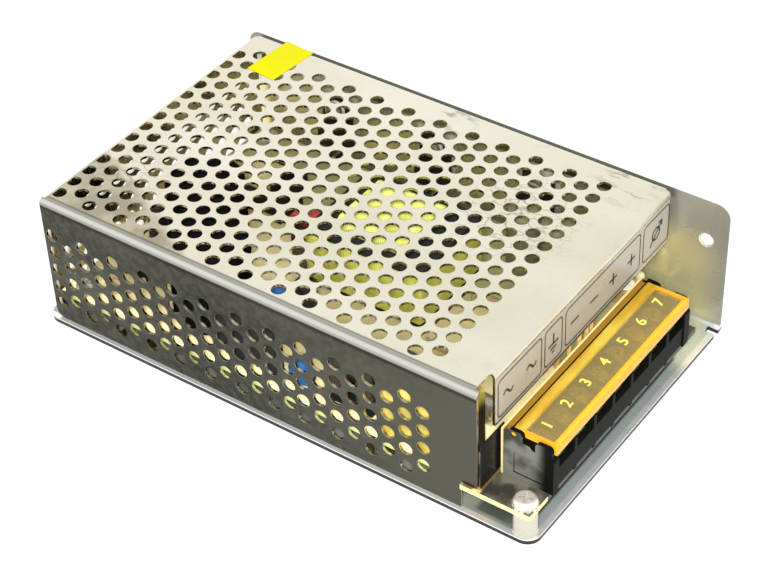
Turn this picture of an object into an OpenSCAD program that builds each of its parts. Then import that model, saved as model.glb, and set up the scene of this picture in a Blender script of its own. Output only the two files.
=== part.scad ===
// Enclosed switching power supply: folded steel chassis, perforated cover,
// seven-way screw terminal block with a hinged transparent cover.

/* [Case] */
// Length of the chassis, back end to terminal end
case_len = 159; // [150:1:190]
// Width over the base and the side wall
case_w = 98; // [94:1:120]
// Height from the underside of the base to the top of the cover
case_h = 42; // [40:1:60]

/* [Chassis] */
// Thickness of the chassis sheet
chassis_t = 1.5; // [1.2:0.1:2]
// Inside radius of the chassis fold
chassis_bend = 1.5; // [1:0.5:2.5]
// Radius of the free corners of the chassis
chassis_corner = 4; // [2:0.5:6]
// Length of the relief slot at the end of the fold
relief_len = 3; // [2:0.5:5]
// Width of the relief slot at the end of the fold
relief_w = 2.4; // [1.5:0.1:4]
// Diameter of the hole in the side flange
flange_hole_d = 3.6; // [3:0.1:5]
// Width of the bevel round the flange hole
flange_bevel = 0.5; // [0.3:0.1:1]
// Distance of the flange hole from the terminal end
flange_hole_in = 6.5; // [6:0.5:9]
// Distance of the flange hole below the top edge
flange_hole_down = 13.1; // [8:0.1:20]

/* [Mounting holes] */
// Diameter of the holes in the base
mount_d = 4.2; // [3.2:0.1:5]
// Spacing of the base holes along the case
mount_span_x = 120; // [100:1:124]
// Spacing of the base holes across the case
mount_span_y = 50; // [40:1:58]

/* [Cover] */
// Thickness of the cover sheet
cover_t = 0.8; // [0.6:0.1:1]
// Inside radius of the cover folds
cover_bend = 0.7; // [0.5:0.1:1.2]
// How far the chassis runs past the back of the cover
cover_back_gap = 3.1; // [2:0.1:6]
// How far the base runs past the near wall of the cover
cover_near_gap = 1.2; // [0.8:0.1:3]
// Length of the open bay in front of the cover
terminal_bay = 16.9; // [16.5:0.1:20]
// Height of the front lip
lip_h = 16.8; // [12:0.1:18]
// Open gap between the near wall and the front lip
lip_gap = 7.4; // [5:0.1:10]
// Depth of the tucked-in edge along the chassis wall
tuck_h = 8; // [6:0.5:12]
// Reach of the fixing tabs under the near wall
tab_reach = 9; // [8:0.5:12]
// Width of the fixing tabs
tab_w = 12; // [9:0.5:16]
// Distance of the first fixing from the back of the cover
fixing_in = 26; // [20:1:32]
// Distance between the two fixings on each side
fixing_span = 80; // [60:1:84]

/* [Perforation] */
// Diameter of the punched holes
hole_d = 4; // [3:0.1:4.4]
// Spacing of the holes within a row across the top
hole_pitch = 5.97; // [5.6:0.01:8]
// Spacing of the rows along the top
row_step = 5.31; // [5.1:0.01:7]
// Spacing where two strokes of the punch meet
stroke_step = 4.44; // [4.2:0.01:7]
// Number of rows punched in one stroke
stroke_rows = 8; // [4:1:12]
// Distance of the first row from the back of the cover
mesh_back = 2.7; // [2.5:0.1:8]
// Plain margin left at the front of the cover
mesh_front = 15.8; // [8:0.1:24]
// Distance of the first hole from the near wall
mesh_near = 5.3; // [5:0.1:10]
// Plain margin left along the chassis wall
mesh_far = 8.5; // [4:0.1:20]
// Distance of the first hole of the walls below the top
wall_mesh_top = 11.2; // [8:0.1:14]
// Plain margin left at the foot of the walls
wall_mesh_foot = 4.6; // [3:0.1:8]

/* [Circuit board] */
// Thickness of the circuit board
board_t = 1.6; // [1.2:0.1:2]
// Height of the standoffs
standoff_h = 7.1; // [5:0.1:9]
// Diameter of the standoffs
standoff_d = 6.4; // [6:0.1:7]
// Set-back of the board from the near edge of the base
board_near_in = 0.4; // [0.2:0.1:1]
// Set-back of the board from the terminal end
board_front_in = 1.2; // [0.6:0.1:3]
// Width of the board's tongue under the terminal block
tongue_w = 83; // [78:1:88]
// Gap between the board and the walls of the case
board_gap = 0.7; // [0.5:0.1:2]
// Distance of the outer board screw from the board's edges
board_screw_in = 3.2; // [3.2:0.1:5]

/* [Terminal block] */
// Number of ways
ways = 7; // [7:1:7]
// Spacing of the ways
way_pitch = 9.1; // [9:0.05:9.3]
// Thickness of the barriers between the ways
barrier_t = 1.2; // [1:0.1:1.8]
// Thickness of the end walls
end_wall = 2.65; // [2:0.05:3]
// Depth of the block from back to front
block_depth = 14.4; // [14:0.1:14.6]
// Set-back of the block from the terminal end
block_front_in = 0.3; // [0.2:0.1:0.6]
// Distance of the block from the near edge of the base
block_near_in = 9.6; // [9:0.1:11]
// Height of the contact floor above the board
floor_h = 6.5; // [5.5:0.1:7]
// Height of the barriers and end walls above the board
barrier_h = 13; // [12.5:0.1:13.2]
// Thickness of the ears that hold the flip cover
ear_t = 1.2; // [1:0.1:1.4]

/* [Flip cover] */
// Height of the flip cover's top above the board
flip_top = 15.9; // [15.8:0.1:16.2]
// Thickness of the clear panel
flip_t = 1.1; // [0.8:0.1:1.3]
// Height of the front skirt
skirt_h = 3.3; // [2.5:0.1:3.4]
// Thickness of the front skirt
skirt_t = 1.3; // [1:0.1:1.6]
// Diameter of the hinge bar
hinge_bar_d = 2.2; // [2:0.1:2.4]
// Diameter of the hinge pins
hinge_pin_d = 1.4; // [1.2:0.05:1.5]
// Clearance of a hinge pin in its ear, each side
hinge_fit = 0.05; // [0.03:0.01:0.08]

/* [Transformer] */
// Length of the transformer core
core_len = 37; // [34:0.5:38]
// Width of the transformer core
core_w = 30; // [28:0.5:31]
// Height of the transformer core
core_h = 18.5; // [15:0.5:18.5]
// Thickness of the core's outer legs
core_leg = 4; // [3.5:0.5:5]
// Thickness of the core's two yokes
core_yoke = 6.5; // [5:0.5:7]
// Thickness of the winding
winding_t = 2.6; // [2:0.1:2.6]
// Thickness of the bobbin's tube
bobbin_t = 0.8; // [0.6:0.1:1]

/* [Board components] */
// Diameter of the main capacitors
main_cap_d = 22; // [20:0.5:23]
// Height of the main capacitors
main_cap_h = 26.3; // [20:0.1:27]
// Diameter of the output capacitors
output_cap_d = 10; // [8:0.5:10]
// Height of the output capacitors
output_cap_h = 20; // [16:0.5:25]
// Outer diameter of the output choke core
toroid_od = 20; // [18:0.5:21]
// Inner diameter of the output choke core
toroid_id = 10; // [9.5:0.5:10.5]
// Height of the output choke core
toroid_h = 9; // [6:0.5:10]
// Diameter of the output choke wire
choke_wire_d = 1.4; // [1.3:0.1:1.5]
// Height of the yellow film capacitor
film_cap_h = 19.8; // [15:0.1:22]

/* [Hidden] */

$fn = 48;
eps = 0.01;      // overlap that makes joined solids one
cut = 1;         // how far a cutter runs past a face
fit = 0.1;       // clearance between fitted pieces

// chassis
x_back = -case_len / 2;
x_front = case_len / 2;
y_near = -case_w / 2;
y_far = case_w / 2;
wall_in = y_far - chassis_t;
chassis_r = chassis_bend + chassis_t;

// cover
cover_x0 = x_back + cover_back_gap;
cover_x1 = x_front - terminal_bay;
cover_y0 = y_near + cover_near_gap;
cover_y1 = wall_in - 3 * fit;
cover_r = cover_bend + cover_t;
lip_y0 = cover_y0 + cover_t + lip_gap;
seam = 0.2;
back_y0 = cover_y0 + cover_r + seam;
back_y1 = cover_y1 - cover_r - seam;
tuck_x0 = cover_x0 + cover_r + seam;
tuck_x1 = cover_x1 - cover_r - seam;
foot_corner = 2.5;
fixing_x = [for (i = [0, 1]) cover_x0 + fixing_in + i * fixing_span];
tab_hole_y = cover_y0 + tab_reach - 4;
tuck_hole_z = case_h - tuck_h / 2 - 0.5;
m3 = 3;
m3_hole = m3 + 2 * fit;
m3_head = 5.6;
m3_sink = 1.3;

// board
board_z = chassis_t + standoff_h;
board_top = board_z + board_t;
board_x0 = cover_x0 + cover_t + board_gap;
board_x1 = x_front - board_front_in;
board_y0 = cover_y0 + cover_t + board_gap;
board_y1 = wall_in - 3.5;
tongue_x0 = cover_x1 - 4.6;
tongue_y0 = y_near + board_near_in;
standoff_at = [
    [board_x1 - board_screw_in, tongue_y0 + board_screw_in],
    [board_x0 + 6, board_y0 + 4],
    [board_x0 + 6, board_y1 - 4],
    [cover_x1 - 29.5, board_y1 - 4.2]];

// terminal block
block_x1 = x_front - block_front_in;
block_x0 = block_x1 - block_depth;
block_y0 = y_near + block_near_in;
block_len = 2 * end_wall + ways * way_pitch - barrier_t;
block_y1 = block_y0 + block_len;
way_w = way_pitch - barrier_t;
floor_z = board_top + floor_h;
barrier_z = board_top + barrier_h;
rear_wall = 1.5;
rear_wall_z = board_top + 15.2;
guard_t = 0.6;
function way_y(i) = block_y0 + end_wall + way_w / 2 + i * way_pitch;
contact_t = 0.8;
contact_w = 7;
pin_w = 1.4;
pin_x = block_x0 + rear_wall + 1.2;
screw_x = block_x0 + 6.4;
clamp_t = 1;
clamp_len = 6.6;
screw_d = 3.4;

// flip cover
hinge_x = block_x0 + rear_wall + hinge_bar_d / 2 + 3 * fit;
flip_z = board_top + flip_top;
hinge_z = flip_z - hinge_bar_d / 2;
flip_x1 = block_x1 + fit;
flip_y0 = block_y0 + ear_t + fit;
flip_y1 = block_y1 - ear_t - fit;
ear_top = hinge_z + 1.2;
ear_len = 2.6;
front_ear_x0 = block_x1 - 5.3;
front_ear_x1 = block_x1 - 0.6;

trimmer_w = 6.8;
adjust_at = [cover_x1 - 6, board_y1 - 9];

// place of a component on the board, as shares of the board's length and width
function spot(u, v) = [board_x0 + u * (cover_x1 - board_x0), board_y0 + v * (board_y1 - board_y0)];
main_cap_at = [spot(0.297, 0.181), spot(0.181, 0.391)];
core_at = spot(0.556, 0.568);
core_z = board_top + 4.3;
red_len = 9;
red_gap = 0.5125;
drive_at = spot(0.182, 0.676);
toroid_at = spot(0.905, 0.598);
red_at = [core_at[0] - core_len / 2 - red_gap - red_len / 2, spot(0, 0.491)[1]];
bridge_at = spot(0.451, 0.055);
line_choke_at = spot(0.689, 0.092);
film_cap_at = spot(0.857, 0.083);
fuse_at = spot(0.865, 0.227);
thermistor_at = spot(0.749, 0.21);
disc_at = [spot(0.503, 0.125), spot(0.587, 0.037)];
control_at = spot(0.102, 0.21);
output_cap_x1 = adjust_at[0] - trimmer_w / 2 - 0.6 - output_cap_d / 2;
output_cap_at = [for (i = [0:2]) [output_cap_x1 - i * (output_cap_d + 0.6), board_y1 - 12.8]];
small_cap_at = [spot(0.058, 0.365), spot(0.058, 0.465), spot(0.458, 0.321)];
led_at = [cover_x1 - 5.6, board_y1 - 2.5];

// resistors: place, length and diameter
resistor_at = [
    [spot(0.348, 0.620), 7, 2.6],
    [spot(0.348, 0.676), 7, 2.6],
    [spot(0.348, 0.731), 7, 2.6],
    [spot(0.102, 0.100), 7, 2.6],
    [spot(0.080, 0.554), 7, 2.6],
    [spot(0.756, 0.399), 9, 3.6],
    [spot(0.756, 0.642), 9, 3.6]];

// devices bolted to the chassis wall
device_x = [for (u = [0.2, 0.45, 0.7]) spot(u, 1)[0]];
device_w = 10;
device_z = board_top + 4;
device_t = 4.5;
tab_t = 1.3;
tab_hole_d = 3.8;
tab_hole_z = device_z + 12.2;
pad_t = 0.3;
pad_y = wall_in - pad_t;

// ---------- shared shapes ----------

// box between two corners
module block(a, b) {
    translate(a) cube(b - a);
}

// quarter bend running along X; turn says which quarter
module bend_x(x0, x1, y, z, inside, t, turn) {
    translate([x0, y, z])
        rotate([90, 0, 90])
            rotate([0, 0, turn])
                rotate_extrude(angle = 90)
                    translate([inside, 0]) square([t, x1 - x0]);
}

// quarter bend running along Y
module bend_y(y0, y1, x, z, inside, t, turn) {
    translate([x, y1, z])
        rotate([90, 0, 0])
            rotate([0, 0, turn])
                rotate_extrude(angle = 90)
                    translate([inside, 0]) square([t, y1 - y0]);
}

// countersunk screw pointing along -Z, head flush at z = 0
module flat_screw(len) {
    translate([0, 0, -m3_sink]) cylinder(d1 = m3, d2 = m3_head, h = m3_sink);
    difference() {
        translate([0, 0, -len]) cylinder(d = m3, h = len);
        translate([0, 0, -m3_sink]) cross_recess(m3_sink + cut, 2.6);
    }
}

// cross recess cut upwards from z = 0
module cross_recess(h, w) {
    translate([-w / 2, -0.35, 0]) cube([w, 0.7, h]);
    translate([-0.35, -w / 2, 0]) cube([0.7, w, h]);
}

// countersunk hole pointing along -Z from z = 0
module flat_hole(t) {
    translate([0, 0, -m3_sink]) cylinder(d1 = m3_hole, d2 = m3_head + 2 * fit, h = m3_sink);
    translate([0, 0, -eps]) cylinder(d = m3_head + 2 * fit, h = cut);
    translate([0, 0, -t - cut]) cylinder(d = m3_hole, h = t + cut);
}

// upright capacitor: crimped can with a vent cross on its lid
module can(at, d, h) {
    groove_z = 2.5;
    translate([at[0], at[1], board_top])
        difference() {
            rotate_extrude() polygon([
                [0, 0], [d / 2 - 0.5, 0], [d / 2, 0.5], [d / 2, groove_z],
                [d / 2 - 0.5, groove_z + 0.5], [d / 2, groove_z + 1],
                [d / 2, h - 0.7], [d / 2 - 0.7, h], [d / 2 - 1.2, h],
                [d / 2 - 1.4, h - 0.3], [0, h - 0.3]]);
            translate([0, 0, h - 0.6]) cross_recess(cut, d * 0.6);
        }
}

// moulded box capacitor or block with its top edges eased
module box_part(a, b, ease) {
    translate([a[0], b[1], 0]) rotate([90, 0, 0]) linear_extrude(b[1] - a[1])
        polygon([
            [0, a[2]], [b[0] - a[0], a[2]], [b[0] - a[0], b[2] - ease],
            [b[0] - a[0] - ease, b[2]], [ease, b[2]], [0, b[2] - ease]]);
}

// ---------- case ----------

module chassis_sheet() {
    r = chassis_corner;
    base_y1 = y_far - chassis_r;
    // base, rounded at the two free corners
    block([x_back + r, y_near, 0], [x_front - r, base_y1 + eps, chassis_t]);
    block([x_back, y_near + r, 0], [x_front, base_y1 + eps, chassis_t]);
    for (x = [x_back + r, x_front - r])
        translate([x, y_near + r, 0]) cylinder(r = r, h = chassis_t);
    // fold
    bend_x(x_back, x_front, base_y1, chassis_r, chassis_bend, chassis_t, -90);
    // side wall, rounded at its two top corners
    block([x_back, wall_in, chassis_r - eps], [x_front, y_far, case_h - r]);
    block([x_back + r, wall_in, chassis_r - eps], [x_front - r, y_far, case_h]);
    for (x = [x_back + r, x_front - r])
        translate([x, y_far, case_h - r]) rotate([90, 0, 0]) cylinder(r = r, h = chassis_t);
}

module chassis() {
    color("gainsboro") difference() {
        chassis_sheet();
        // relief slots at both ends of the fold
        block([x_front - relief_len, y_far - chassis_r - relief_w, -cut],
            [x_front + cut, y_far - chassis_r, chassis_t + cut]);
        block([x_back - cut, y_far - chassis_r - relief_w, -cut],
            [x_back + relief_len, y_far - chassis_r, chassis_t + cut]);
        // flange hole with its bevelled rim
        translate([x_front - flange_hole_in, wall_in, case_h - flange_hole_down])
            rotate([-90, 0, 0]) {
                translate([0, 0, -cut]) cylinder(d = flange_hole_d, h = chassis_t + 2 * cut);
                translate([0, 0, -eps])
                    cylinder(d1 = flange_hole_d + 2 * flange_bevel, d2 = flange_hole_d, h = flange_bevel);
            }
        // mounting holes in the base
        for (x = [-1, 1], y = [-1, 1])
            translate([x * mount_span_x / 2, y * mount_span_y / 2, -cut])
                cylinder(d = mount_d, h = chassis_t + 2 * cut);
        // countersunk holes for the cover screws
        for (x = fixing_x) {
            translate([x, tab_hole_y, 0]) rotate([180, 0, 0]) flat_hole(chassis_t);
            translate([x, y_far, tuck_hole_z]) rotate([-90, 0, 0]) flat_hole(chassis_t);
        }
        // holes for the device screws
        for (x = device_x)
            translate([x, wall_in - cut, tab_hole_z])
                rotate([-90, 0, 0]) cylinder(d = m3_hole, h = chassis_t + 2 * cut);
        // standoff spigots
        for (p = standoff_at)
            translate([p[0], p[1], -cut]) cylinder(d = spigot_d + 2 * spigot_fit, h = chassis_t + 2 * cut);
    }
}

// distance of punched row i from the first row
function row_x(i) = i * row_step - floor(i / stroke_rows) * (row_step - stroke_step);

// flat panel along X and Y with staggered rows of holes; the first hole is at
// the given margins, and odd rows are shifted by half a pitch
module mesh_panel(long, wide, first, last, t) {
    rows = [for (i = [0:80]) if (row_x(i) <= long - first[0] - last[0] + eps) i];
    linear_extrude(t) difference() {
        square([long, wide]);
        for (i = rows) {
            start = first[1] + (i % 2) * hole_pitch / 2;
            for (y = [start:hole_pitch:wide - last[1]])
                translate([first[0] + row_x(i), y]) circle(d = hole_d, $fn = 32);
        }
    }
}

module cover_sheet() {
    flat_top = case_h - cover_r;
    foot = chassis_t;
    long = cover_x1 - cover_x0;
    // top panel
    translate([cover_x0 + cover_r, cover_y0 + cover_r, case_h - cover_t])
        mesh_panel(long - 2 * cover_r, cover_y1 - cover_y0 - 2 * cover_r,
            [mesh_back - cover_r, mesh_near - cover_r],
            [mesh_front - cover_r, mesh_far - cover_r], cover_t);
    // near wall: fold, mesh panel standing on its foot, and the fixing tabs
    bend_x(cover_x0, cover_x1, cover_y0 + cover_r, flat_top, cover_bend, cover_t, 90);
    translate([cover_x0, cover_y0, flat_top]) rotate([-90, 0, 0])
        mesh_panel(long, flat_top - foot - foot_corner,
            [mesh_back, wall_mesh_top - cover_r],
            [mesh_front, wall_mesh_foot - foot_corner], cover_t);
    block([cover_x0 + foot_corner, cover_y0, foot],
        [cover_x1, cover_y0 + cover_t, foot + foot_corner + eps]);
    translate([cover_x0 + foot_corner, cover_y0 + cover_t, foot + foot_corner])
        rotate([90, 0, 0]) cylinder(r = foot_corner, h = cover_t);
    for (x = fixing_x)
        block([x - tab_w / 2, cover_y0 + cover_t - eps, foot],
            [x + tab_w / 2, cover_y0 + tab_reach, foot + cover_t]);
    // back wall: fold and mesh panel
    bend_y(back_y0, back_y1, cover_x0 + cover_r, flat_top, cover_bend, cover_t, 90);
    translate([cover_x0, back_y0, flat_top + eps]) rotate([0, 90, 0])
        mesh_panel(flat_top - foot, back_y1 - back_y0,
            [wall_mesh_top - cover_r, mesh_near - cover_r],
            [wall_mesh_foot, mesh_far - cover_r], cover_t);
    // edge tucked inside the chassis wall
    bend_x(tuck_x0, tuck_x1, cover_y1 - cover_r, flat_top, cover_bend, cover_t, 0);
    block([tuck_x0, cover_y1 - cover_t, case_h - tuck_h], [tuck_x1, cover_y1, flat_top + eps]);
    // front lip
    block([cover_x1 - cover_r - eps, lip_y0, case_h - cover_t],
        [cover_x1 - cover_r, cover_y1 - cover_r, case_h]);
    bend_y(lip_y0, cover_y1 - cover_r, cover_x1 - cover_r, flat_top, cover_bend, cover_t, 0);
    block([cover_x1 - cover_t, lip_y0, case_h - lip_h],
        [cover_x1, cover_y1 - cover_r, flat_top + eps]);
}

module cover() {
    color("silver") difference() {
        cover_sheet();
        // notch for the board's tongue
        block([tongue_x0 - fit, cover_y0 - cut, 0],
            [cover_x1 + cut, cover_y0 + cover_t + cut, board_top + fit]);
        // fixing holes
        for (x = fixing_x) {
            translate([x, tab_hole_y, 0]) cylinder(d = m3_hole, h = chassis_t + cover_t + cut);
            translate([x, cover_y1 - cover_t - cut, tuck_hole_z])
                rotate([-90, 0, 0]) cylinder(d = m3_hole, h = cover_t + 2 * cut);
        }
    }
}

module cover_screws() {
    color("lightgray") for (x = fixing_x) {
        translate([x, tab_hole_y, 0]) rotate([180, 0, 0]) flat_screw(5);
        translate([x, y_far, tuck_hole_z]) rotate([-90, 0, 0]) flat_screw(5);
    }
}

// printed strip on the front lip
label_t = 0.15;
module terminal_label() {
    color("whitesmoke")
        block([cover_x1, lip_y0 + 0.4, case_h - lip_h + 0.8],
            [cover_x1 + label_t, cover_y1 - cover_r - 0.8, case_h - cover_r - 0.6]);
}

// paper seal across the joint between cover and chassis wall
seal_t = 0.12;
module seal_sticker() {
    color("gold")
        translate([cover_x0 + 9.1, y_far - 18.1, case_h])
            rotate([0, 0, -5])
                cube([10, 17.2, seal_t]);
}

// ---------- circuit board ----------

board_hole_d = 3.4;
lead_play = 0.1;
lead_pitch = 2.54;
disc_d = [12, 8];
thermistor_d = 10;
bridge_leads = [for (i = [-1.5:1.5]) bridge_at + [2 * lead_pitch * i, 0]];
control_leads = [for (i = [-1.5:1.5], y = [-3.5, 3.5]) control_at + [lead_pitch * i, y]];
device_leads = [for (x = device_x, i = [-1:1]) [x + lead_pitch * i, pad_y - 5.65]];
dipped_leads = [for (s = [-1, 1]) for (p = [
    disc_at[0] + [s * disc_d[0] / 4, 0], disc_at[1] + [s * disc_d[1] / 4, 0],
    thermistor_at + [s * thermistor_d / 4, 0], red_at + [s * 3, 0]]) p];
resistor_leads = [for (r = resistor_at, s = [-1, 1]) r[0] + [s * (r[1] / 2 + 2), 0]];
spigot_d = 4;
spigot_fit = 0.05;
board_screw_d = 3;
board_screw_len = 8;
board_head_d = 6.4;
washer_d = 6.8;
washer_t = 0.6;

// outline of the board with the tongue that carries the terminal block
module board_outline() {
    polygon([
        [board_x0, board_y0], [tongue_x0, board_y0], [tongue_x0, tongue_y0],
        [board_x1, tongue_y0], [board_x1, tongue_y0 + tongue_w],
        [cover_x1 - 1, tongue_y0 + tongue_w], [cover_x1 - 1, board_y1], [board_x0, board_y1]]);
}

module circuit_board() {
    color("tan") translate([0, 0, board_z]) linear_extrude(board_t) difference() {
        board_outline();
        for (p = standoff_at) translate(p) circle(d = board_hole_d);
        for (i = [0:ways - 1]) translate([pin_x, way_y(i)]) circle(d = pin_w + 3 * fit);
        // lead holes
        for (p = concat(bridge_leads, control_leads, device_leads, dipped_leads, resistor_leads))
            translate(p) circle(d = 1 + 2 * lead_play, $fn = 16);
        // isolation slot between the mains side and the output side
        translate([core_at[0] - core_len / 2 - 3.4, core_at[1] + 4]) square([1.6, 16]);
    }
}

// spacers with a spigot swaged into the base
module board_standoffs() {
    color("lightgray") for (p = standoff_at) translate([p[0], p[1], 0]) difference() {
        union() {
            cylinder(d = spigot_d, h = chassis_t + eps);
            translate([0, 0, chassis_t]) cylinder(d1 = standoff_d + 0.5, d2 = standoff_d, h = 0.6);
            translate([0, 0, chassis_t]) cylinder(d = standoff_d, h = standoff_h);
        }
        translate([0, 0, chassis_t + 0.4]) cylinder(d = board_screw_d, h = standoff_h + cut);
    }
}

module board_screws() {
    head_z = board_top + washer_t;
    color("silver") for (p = standoff_at) translate([p[0], p[1], head_z]) difference() {
        union() {
            translate([0, 0, -board_screw_len]) cylinder(d = board_screw_d, h = board_screw_len + eps);
            rotate_extrude() polygon(concat([[0, 0], [board_head_d / 2, 0]],
                [for (a = [0:15:75])
                    [board_head_d / 2 - 1.2 + 1.2 * cos(a), 0.6 + 1.2 * sin(a)]],
                [[0, 1.85]]));
        }
        translate([0, 0, 0.7]) rotate([0, 0, 20]) cross_recess(2, 3.6);
    }
}

// toothed lock washers
module board_washers() {
    color("lightgray") for (p = standoff_at) translate([p[0], p[1], board_top]) difference() {
        cylinder(d = washer_d, h = washer_t);
        translate([0, 0, -cut]) cylinder(d = board_screw_d + 3 * fit, h = washer_t + 2 * cut);
        for (a = [0:30:330]) rotate([0, 0, a])
            translate([washer_d / 2, 0, -cut]) cylinder(d = 0.7, h = washer_t + 2 * cut, $fn = 16);
    }
}

// ---------- terminal block ----------

// upright ear with a rounded top, thickness along Y
module ear(x0, x1, y, top) {
    r = 1.2;
    translate([0, y + ear_t, 0]) rotate([90, 0, 0]) linear_extrude(ear_t) {
        translate([x0, barrier_z - 2]) square([x1 - x0, top - barrier_z + 2 - r]);
        translate([x0 + r, barrier_z]) square([x1 - x0 - 2 * r, top - barrier_z]);
        translate([x0 + r, top - r]) circle(r = r);
        translate([x1 - r, top - r]) circle(r = r);
    }
}

// side profile of a barrier: rounded front corner, sloping front edge
module barrier_profile(front_in) {
    r = 1.5;
    h = barrier_z - board_top;
    polygon(concat([[0, 0], [block_depth - front_in, 0]],
        [for (a = [0:15:90])
            [block_depth - front_in - r + r * cos(a), h - 1 - r + r * sin(a)]],
        [[block_depth - 6, h - 1], [block_depth - 7, h], [0, h]]));
}

module terminal_block() {
    color("dimgray") difference() {
        union() {
            // rear wall and body under the contact floor
            block([block_x0, block_y0, board_top],
                [block_x0 + rear_wall, block_y1, rear_wall_z]);
            block([block_x0, block_y0, board_top], [block_x1 - 0.8, block_y1, floor_z]);
            // end walls and barriers
            for (y = [block_y0 + end_wall, block_y1])
                translate([block_x0, y, board_top]) rotate([90, 0, 0])
                    linear_extrude(end_wall) barrier_profile(0);
            for (i = [1:ways - 1])
                translate([block_x0, way_y(i) - way_w / 2, board_top]) rotate([90, 0, 0])
                    linear_extrude(barrier_t) barrier_profile(0.3);
            // sill in front of each way
            for (i = [0:ways - 1])
                block([block_x1 - 1.6, way_y(i) - way_w / 2 - eps, board_top + 0.9],
                    [block_x1 - 0.3, way_y(i) + way_w / 2 + eps, floor_z + 0.5]);
            // ears for the flip cover
            for (y = [block_y0, block_y1 - ear_t]) {
                ear(hinge_x - ear_len, hinge_x + ear_len, y, ear_top);
                ear(front_ear_x0, front_ear_x1, y, ear_top - 0.9);
            }
        }
        // room for the bar's ends in the rear wall
        block([block_x0 + rear_wall - eps, block_y0 + ear_t, barrier_z + 0.2],
            [hinge_x + 3.2, block_y0 + end_wall + eps, flip_z + cut]);
        block([block_x0 + rear_wall - eps, block_y1 - end_wall - eps, barrier_z + 0.2],
            [hinge_x + 3.2, block_y1 - ear_t, flip_z + cut]);
        // hinge holes
        translate([hinge_x, block_y0 - cut, hinge_z]) rotate([-90, 0, 0])
            cylinder(d = hinge_pin_d + 2 * hinge_fit, h = block_len + 2 * cut);
        // sunk panel in both end faces
        for (y = [block_y0 - cut, block_y1 - 0.4])
            block([block_x0 + 3, y, board_top + 2], [block_x1 - 2.4, y + 0.4 + cut, barrier_z - 4]);
        // contact wells and pins
        for (i = [0:ways - 1]) {
            block([block_x0 + rear_wall, way_y(i) - contact_w / 2 - fit, floor_z - contact_t - fit],
                [block_x1 - 2.6, way_y(i) + contact_w / 2 + fit, floor_z + cut]);
            translate([screw_x, way_y(i), board_top + 0.8]) cylinder(d = screw_d + 0.6, h = floor_h);
            translate([pin_x, way_y(i), board_top - cut]) cylinder(d = pin_w + 2 * fit, h = floor_h + cut);
        }
        // drain slots along the foot of the sill
        for (i = [0:ways - 1])
            block([block_x1 - 0.8, way_y(i) - 1.5, board_top - cut],
                [block_x1 + cut, way_y(i) + 1.5, board_top + 0.9]);
    }
}

module terminal_contacts() {
    color("silver") for (i = [0:ways - 1]) difference() {
        union() {
            block([block_x0 + rear_wall + fit, way_y(i) - contact_w / 2, floor_z - contact_t],
                [block_x1 - 2.7, way_y(i) + contact_w / 2, floor_z]);
            translate([pin_x, way_y(i), board_z - 1.2])
                cylinder(d = pin_w, h = floor_z - board_z + 1.2 - eps);
        }
        translate([screw_x, way_y(i), floor_z - contact_t - cut])
            cylinder(d = screw_d + 2 * fit, h = contact_t + 2 * cut);
    }
}

// square clamp washers under the screw heads
clamp_z0 = floor_z + 1;
module terminal_clamps() {
    color("silver") for (i = [0:ways - 1]) difference() {
        box_part([screw_x - clamp_len / 2, way_y(i) - clamp_len / 2, clamp_z0],
            [screw_x + clamp_len / 2, way_y(i) + clamp_len / 2, clamp_z0 + clamp_t], 0.3);
        translate([screw_x, way_y(i), clamp_z0 - cut])
            cylinder(d = screw_d + 2 * fit, h = clamp_t + 2 * cut);
    }
}

module terminal_screws() {
    head_d = 6.2;
    head_h = 2;
    z = clamp_z0 + clamp_t;
    color("lightgray") for (i = [0:ways - 1]) translate([screw_x, way_y(i), z]) difference() {
        union() {
            translate([0, 0, board_top + 1.2 - z])
                cylinder(d = screw_d, h = z - board_top - 1.2 + eps);
            rotate_extrude() polygon([[0, 0], [head_d / 2, 0], [head_d / 2, head_h - 0.6],
                [head_d / 2 - 0.8, head_h], [0, head_h + 0.1]]);
        }
        translate([0, 0, 0.8]) rotate([0, 0, 15 + 37 * i]) cross_recess(3, 3.8);
    }
}

// cream insulating strip standing behind the block
guard_x1 = block_x0 - fit;
module terminal_guard() {
    color("wheat")
        block([guard_x1 - guard_t, block_y0, board_top], [guard_x1, block_y1, rear_wall_z]);
}

// film between the parts on the board and the terminals, taller at its near end
sheet_t = 0.3;
sheet_x0 = cover_x1 + label_t + 2 * fit;
module insulation_sheet() {
    color("black") {
        block([sheet_x0, tongue_y0 + 1.7, board_top], [sheet_x0 + sheet_t, block_y0 + 3, board_top + 14.3]);
        block([sheet_x0, block_y0, board_top], [sheet_x0 + sheet_t, block_y1, board_top + 8]);
    }
}

// ---------- flip cover ----------

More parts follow.
